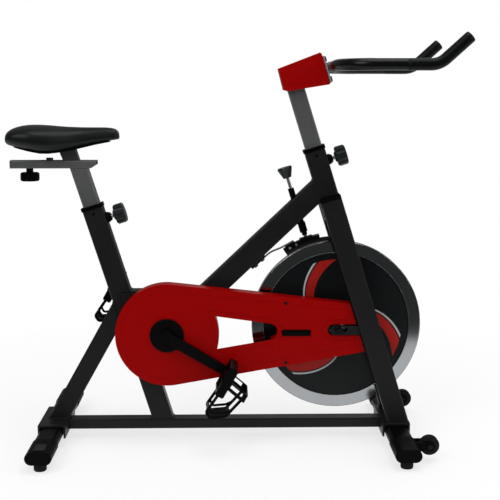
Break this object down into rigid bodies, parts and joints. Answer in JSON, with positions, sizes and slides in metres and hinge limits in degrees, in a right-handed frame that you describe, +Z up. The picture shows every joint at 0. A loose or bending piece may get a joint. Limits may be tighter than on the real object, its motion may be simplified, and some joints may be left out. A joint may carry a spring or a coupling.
{
  "type": "indoor spin bike",
  "caption": "Indoor spin bike: welded lean-back frame on two cross feet, covered belt drive to a rim-braked flywheel, caged pedals, sliding saddle and handlebar posts.",
  "frame": {"origin": "on the floor under the middle of the bike's box", "axes": "+X to the front, +Y to the rider's left, +Z up"},
  "size_m": [1.0864, 0.524, 0.9952],
  "materials": {
    "frame_paint": "satin charcoal powder coat",
    "black_paint": "black powder coat",
    "post_steel": "satin grey metallic coat",
    "gloss_black": "gloss black enamel",
    "bright_steel": "turned and plated",
    "plain_steel": "plain turned steel",
    "dark_steel": "dark zinc plated",
    "pulley": "black anodised",
    "disc": "black printed disc",
    "black_plastic": "moulded, fine grain",
    "slider_steel": "black powder coat",
    "red_plastic": "moulded, satin gloss",
    "rubber": "moulded",
    "foam": "textured foam",
    "vinyl": "grained vinyl over foam",
    "felt": "pressed felt"
  },
  "bodies": {
    "frame": {"base_rail": "frame_paint", "seat_tube": "frame_paint", "rear_strut": "frame_paint", "brace_tube": "frame_paint", "down_tube": "frame_paint", "bb_gussets": "frame_paint", "bb_shell": "frame_paint", "bb_bearings": "plain_steel", "head_tube": "frame_paint", "fork_right": "frame_paint", "fork_left": "frame_paint", "dropouts": "frame_paint", "flywheel_axle": "plain_steel", "brackets": "frame_paint", "rear_stabilizer": "black_paint", "front_stabilizer": "black_paint", "end_caps": "black_plastic", "rubber_feet": "rubber", "frame_fasteners": "dark_steel", "post_bushes": "black_plastic", "pin_bosses": "black_plastic", "brake_sleeve": "black_plastic", "cover_outer": "red_plastic", "cover_inner": "black_plastic", "drive_belt": "rubber", "leaf_spring": "plain_steel"},
    "flywheel_set": {"flywheel": "bright_steel", "flywheel_discs": "disc", "flywheel_bearings": "plain_steel", "drive_pulley": "pulley"},
    "crank_set": {"crank_spindle": "plain_steel", "big_pulley": "pulley", "crank_right": "black_paint", "crank_left": "black_paint", "pedal_spindles": "plain_steel"},
    "right_pedal": {"pedal_right": "black_plastic", "cage_right": "black_plastic"},
    "left_pedal": {"pedal_left": "black_plastic", "cage_left": "black_plastic"},
    "right_wheel": {"wheel_right": "rubber"},
    "left_wheel": {"wheel_left": "rubber"},
    "saddle_post": {"seat_post": "post_steel", "rail_plug": "black_plastic"},
    "saddle_set": {"saddle_slider": "slider_steel", "saddle_base": "black_plastic", "saddle": "vinyl"},
    "rail_clamp": {"rail_knob": "black_plastic"},
    "seat_pop_pin": {"seat_pin": "plain_steel"},
    "seat_pin_knob": {"seat_knob": "black_plastic"},
    "head_pop_pin": {"head_pin": "plain_steel"},
    "head_pin_knob": {"head_knob": "black_plastic"},
    "handlebar_post": {"bar_post": "post_steel", "stem_cover": "red_plastic", "handlebar": "gloss_black", "bar_bolts": "dark_steel", "bar_grips": "foam"},
    "brake_set": {"brake_rod": "plain_steel", "brake_holder": "black_paint", "brake_pad": "felt"},
    "tension_knob": {"brake_knob": "black_plastic"}
  },
  "joints": [
    {"name": "flywheel_spin", "type": "hinge", "parent": "frame", "child": "flywheel_set", "pos_m": [0.256, 0, 0.289], "axis": [0, 1, 0], "continuous": true},
    {"name": "crank_spin", "type": "hinge", "parent": "frame", "child": "crank_set", "pos_m": [-0.1615, 0, 0.275], "axis": [0, 1, 0], "continuous": true},
    {"name": "right_pedal_spin", "type": "hinge", "parent": "crank_set", "child": "right_pedal", "pos_m": [-0.01578, -0.135, 0.18744], "axis": [0, 1, 0], "continuous": true},
    {"name": "left_pedal_spin", "type": "hinge", "parent": "crank_set", "child": "left_pedal", "pos_m": [-0.30722, 0.135, 0.36256], "axis": [0, 1, 0], "continuous": true},
    {"name": "right_wheel_spin", "type": "hinge", "parent": "frame", "child": "right_wheel", "pos_m": [0.4605, -0.19, 0.039], "axis": [0, 1, 0], "continuous": true},
    {"name": "left_wheel_spin", "type": "hinge", "parent": "frame", "child": "left_wheel", "pos_m": [0.4605, 0.19, 0.039], "axis": [0, 1, 0], "continuous": true},
    {"name": "saddle_height", "type": "slide", "parent": "frame", "child": "saddle_post", "axis": [-0.2982, 0, 0.9545], "range_m": [-0.075, 0.125]},
    {"name": "saddle_fore_aft", "type": "slide", "parent": "saddle_post", "child": "saddle_set", "axis": [1, 0, 0], "range_m": [-0.02, 0.02]},
    {"name": "rail_knob_turn", "type": "hinge", "parent": "saddle_post", "child": "rail_clamp", "pos_m": [-0.493, 0, 0.66], "axis": [0, 0, 1], "continuous": true},
    {"name": "seat_pin_pull", "type": "slide", "parent": "frame", "child": "seat_pop_pin", "axis": [0.9545, 0, 0.2982], "range_m": [0, 0.01], "stiffness_N_per_m": 1200, "springref_m": -0.008},
    {"name": "seat_knob_turn", "type": "hinge", "parent": "seat_pop_pin", "child": "seat_pin_knob", "pos_m": [-0.28193, 0, 0.56569], "axis": [0.9545, 0, 0.2982], "continuous": true},
    {"name": "head_pin_pull", "type": "slide", "parent": "frame", "child": "head_pop_pin", "axis": [0.9545, 0, 0.2982], "range_m": [0, 0.01], "stiffness_N_per_m": 1200, "springref_m": -0.008},
    {"name": "head_knob_turn", "type": "hinge", "parent": "head_pop_pin", "child": "head_pin_knob", "pos_m": [0.25861, 0, 0.70669], "axis": [0.9545, 0, 0.2982], "continuous": true},
    {"name": "handlebar_height", "type": "slide", "parent": "frame", "child": "handlebar_post", "axis": [-0.2982, 0, 0.9545], "range_m": [-0.04, 0.06]},
    {"name": "brake_press", "type": "slide", "parent": "frame", "child": "brake_set", "axis": [0.2982, 0, -0.9545], "range_m": [0, 0.0018], "stiffness_N_per_m": 9000, "springref_m": -0.002, "deforming": ["leaf_spring"]},
    {"name": "tension_knob_turn", "type": "hinge", "parent": "brake_set", "child": "tension_knob", "pos_m": [0.1337, 0, 0.65362], "axis": [-0.2982, 0, 0.9545], "continuous": true}
  ],
  "couplings": [
    {"joint": "crank_spin", "follows": "flywheel_spin", "ratio": 0.30435}
  ]
}
